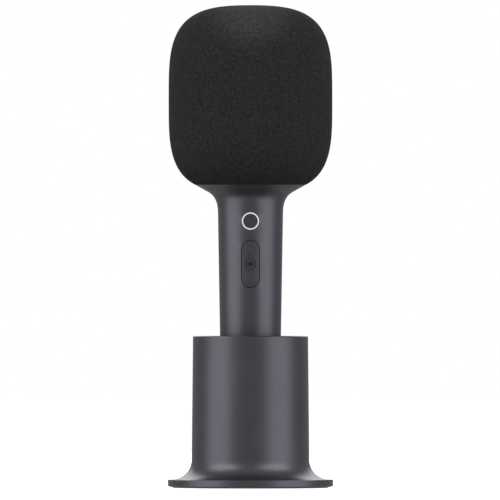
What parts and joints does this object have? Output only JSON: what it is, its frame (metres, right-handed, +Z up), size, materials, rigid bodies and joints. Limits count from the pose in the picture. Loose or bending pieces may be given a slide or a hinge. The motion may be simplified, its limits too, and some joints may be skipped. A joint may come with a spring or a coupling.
{
  "type": "karaoke microphone",
  "caption": "Handheld karaoke microphone with a round-shouldered fabric head, lit power key and pill-shaped volume rocker, standing in a flared, weighted holder.",
  "frame": {"origin": "on the surface under the holder's centre: the bottom centre of the whole object", "axes": "+Z up along the microphone's axis, -Y towards the front, where the keys are, +X to the right as seen from the front"},
  "size_m": [0.0856, 0.0856, 0.2502],
  "materials": {
    "gunmetal": "satin",
    "handle_metal": "satin",
    "dark_plastic": "matte",
    "cup_plastic": "matte",
    "head_knit": "matte",
    "cage_plastic": "matte",
    "foam": "matte",
    "felt": "matte",
    "steel": "satin",
    "iron": "satin",
    "screw_steel": "satin",
    "rubber": "matte",
    "key_metal": "satin",
    "power_face": "matte",
    "light_guide": "gloss",
    "lamp": "gloss",
    "board_green": "satin",
    "board_black": "satin",
    "chip": "matte",
    "cone_paper": "matte",
    "spider_cloth": "matte",
    "coil_wire": "satin",
    "cell_wrap": "gloss",
    "nickel": "polished",
    "wire": "satin",
    "capsule_metal": "satin",
    "chassis": "matte"
  },
  "bodies": {
    "stand": {"stand_shell": "gunmetal", "stand_cup": "cup_plastic", "seat_pad": "felt", "ballast_ring": "iron", "base_plate": "steel", "base_screws": "screw_steel", "foot_pad": "rubber"},
    "microphone": {"handle_shell": "handle_metal", "head_fabric": "head_knit", "grille_upper": "cage_plastic", "grille_lower": "cage_plastic", "foam_liner": "foam", "mid_ring": "dark_plastic", "speaker_bowl": "dark_plastic", "neck_screws": "screw_steel", "head_screws": "screw_steel", "speaker_gasket": "rubber", "speaker_basket": "steel", "speaker_yoke": "iron", "speaker_magnet": "iron", "pole_plate": "steel", "speaker_surround": "rubber", "speaker_spider": "spider_cloth", "mic_capsule": "capsule_metal", "capsule_boot": "rubber", "capsule_bridge": "dark_plastic", "light_ring": "light_guide", "key_board": "board_black", "key_switches": "nickel", "ring_lamps": "lamp", "key_frame": "chassis", "end_cap": "dark_plastic", "end_seal": "rubber", "internal_frame": "chassis", "battery_cell": "cell_wrap", "cell_contacts": "nickel", "main_board": "board_green", "board_chips": "chip", "radio_shield": "nickel", "usb_board": "board_green", "usb_socket": "nickel", "board_screws": "screw_steel", "lead_grommet": "rubber", "speaker_leads": "wire", "capsule_lead": "wire", "battery_leads": "wire", "key_ribbon": "board_black"},
    "power_key": {"power_button": "power_face"},
    "volume_key": {"volume_rocker": "key_metal"},
    "effect_key": {"effect_button": "key_metal"},
    "cone": {"speaker_cone": "cone_paper", "dust_cap": "cone_paper", "voice_coil": "coil_wire"}
  },
  "joints": [
    {"name": "mic_lift", "type": "slide", "parent": "stand", "child": "microphone", "axis": [0, 0, 1], "range_m": [0, 0.09]},
    {"name": "power_press", "type": "slide", "parent": "microphone", "child": "power_key", "axis": [0, 1, 0], "range_m": [0, 0.0004], "stiffness_N_per_m": 400},
    {"name": "volume_rock", "type": "hinge", "parent": "microphone", "child": "volume_key", "pos_m": [0, -0.0118, 0.116], "axis": [1, 0, 0], "range_deg": [-2, 2], "stiffness_Nm_per_rad": 0.3},
    {"name": "effect_press", "type": "slide", "parent": "microphone", "child": "effect_key", "axis": [0, 1, 0], "range_m": [0, 0.0004], "stiffness_N_per_m": 400},
    {"name": "cone_travel", "type": "slide", "parent": "microphone", "child": "cone", "axis": [0, 0, 1], "range_m": [-0.0012, 0.0012], "stiffness_N_per_m": 900, "deforming": ["speaker_surround", "speaker_spider"]}
  ]
}
